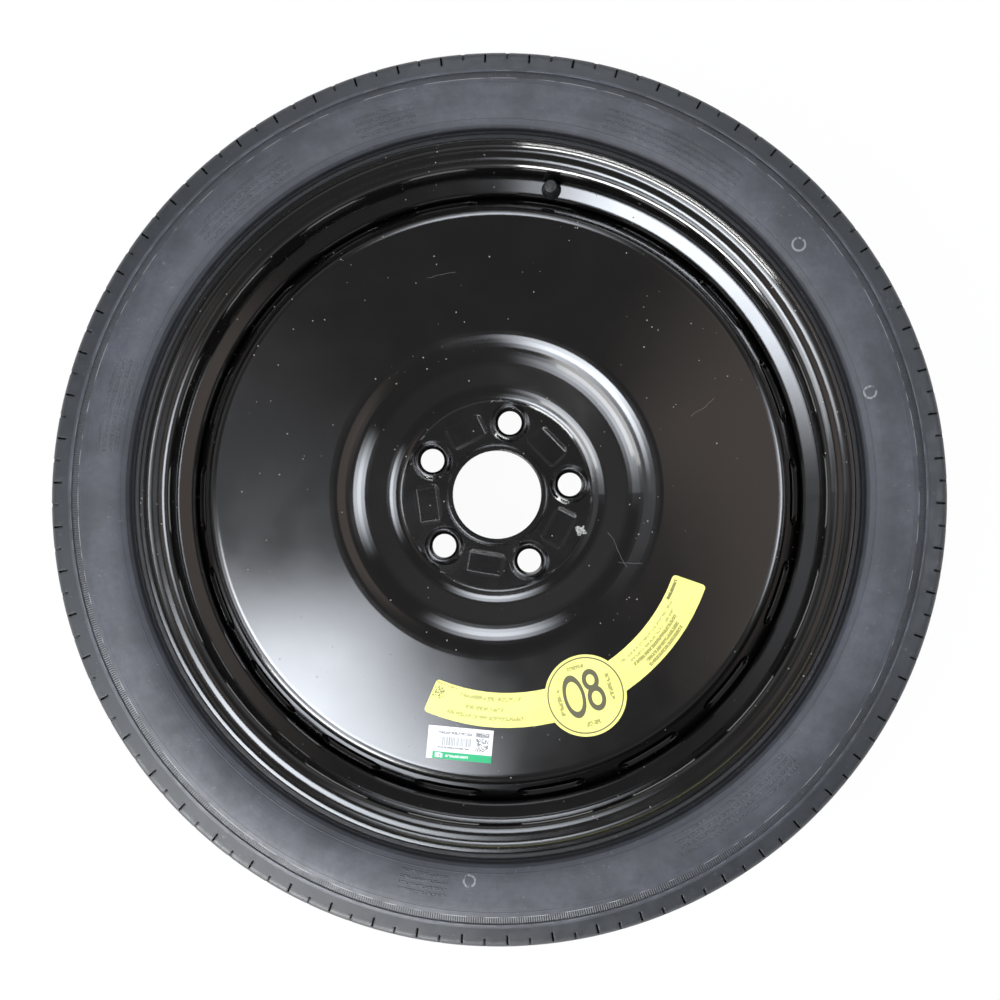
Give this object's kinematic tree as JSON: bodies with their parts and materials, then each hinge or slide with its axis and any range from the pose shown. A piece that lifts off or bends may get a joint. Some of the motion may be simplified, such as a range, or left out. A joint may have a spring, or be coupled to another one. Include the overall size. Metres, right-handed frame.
{
  "type": "space saver spare wheel",
  "caption": "Narrow temporary spare wheel: slim tubeless tyre on a black pressed steel wheel with a dished hub, vent slots, a snap-in valve with cap, and two stickers.",
  "frame": {"origin": "centre of the wheel, half way across its width, on its axis", "axes": "+Z along the wheel's axis, out of the side that faces away from the car; the valve is near +Y"},
  "size_m": [0.6574, 0.6574, 0.126],
  "materials": {
    "tyre_rubber": "matte",
    "black_paint": "gloss",
    "painted_weld": "gloss",
    "valve_rubber": "matte",
    "valve_brass": "satin",
    "seal_rubber": "matte",
    "pin_steel": "satin",
    "cap_plastic": "satin",
    "yellow_film": "satin",
    "white_film": "satin"
  },
  "bodies": {
    "wheel": {"tyre": "tyre_rubber", "rim": "black_paint", "disc": "black_paint", "weld_beads": "painted_weld", "valve_body": "valve_rubber", "valve_stem": "valve_brass", "core_barrel": "valve_brass", "core_gasket": "seal_rubber", "core_spring": "pin_steel", "yellow_sticker": "yellow_film", "white_sticker": "white_film"},
    "cap": {"valve_cap": "cap_plastic", "cap_seal": "seal_rubber"},
    "pin": {"core_pin": "pin_steel", "core_seal": "seal_rubber"}
  },
  "joints": [
    {"name": "cap_pull", "type": "slide", "parent": "wheel", "child": "cap", "axis": [-0.0182, -0.1029, 0.9945], "range_m": [0, 0.03]},
    {"name": "pin_press", "type": "slide", "parent": "wheel", "child": "pin", "axis": [0.0182, 0.1029, -0.9945], "range_m": [0, 0.0015], "stiffness_N_per_m": 800, "deforming": ["core_spring"]}
  ]
}
